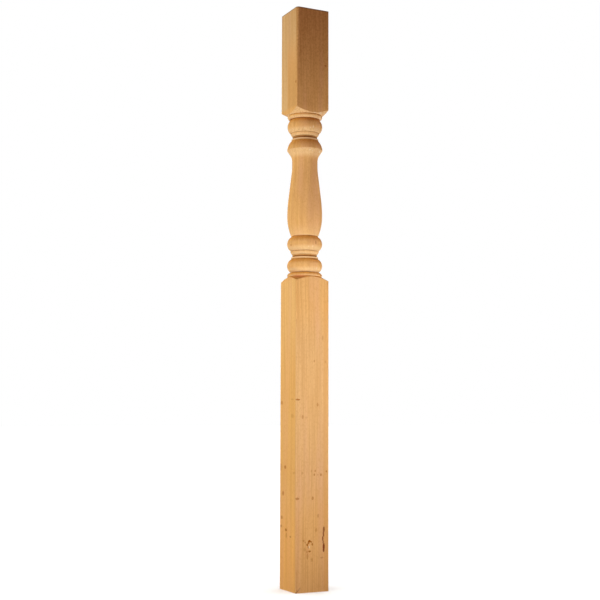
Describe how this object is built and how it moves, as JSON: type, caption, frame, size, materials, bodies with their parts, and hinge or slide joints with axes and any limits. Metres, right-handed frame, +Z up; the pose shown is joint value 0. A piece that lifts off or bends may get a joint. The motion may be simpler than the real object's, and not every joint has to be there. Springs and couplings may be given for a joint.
{
  "type": "newel post",
  "caption": "Square wooden newel post with a turned middle of beads, a lipped vase and fillets between a square top block for the handrail and a long square lower block.",
  "frame": {"origin": "centre of the square underside, on the floor the post stands on", "axes": "+Z up along the post's axis; -Y out of the broad face seen on the right of the picture, -X out of the narrow face seen on its left"},
  "size_m": [0.0888, 0.0888, 1.4351],
  "materials": {
    "bare_wood": "unfinished pale wood, turned and sanded, with straight upright grain and small pin knots, matte"
  },
  "bodies": {
    "root": {"newel_post": "bare_wood"}
  },
  "joints": []
}
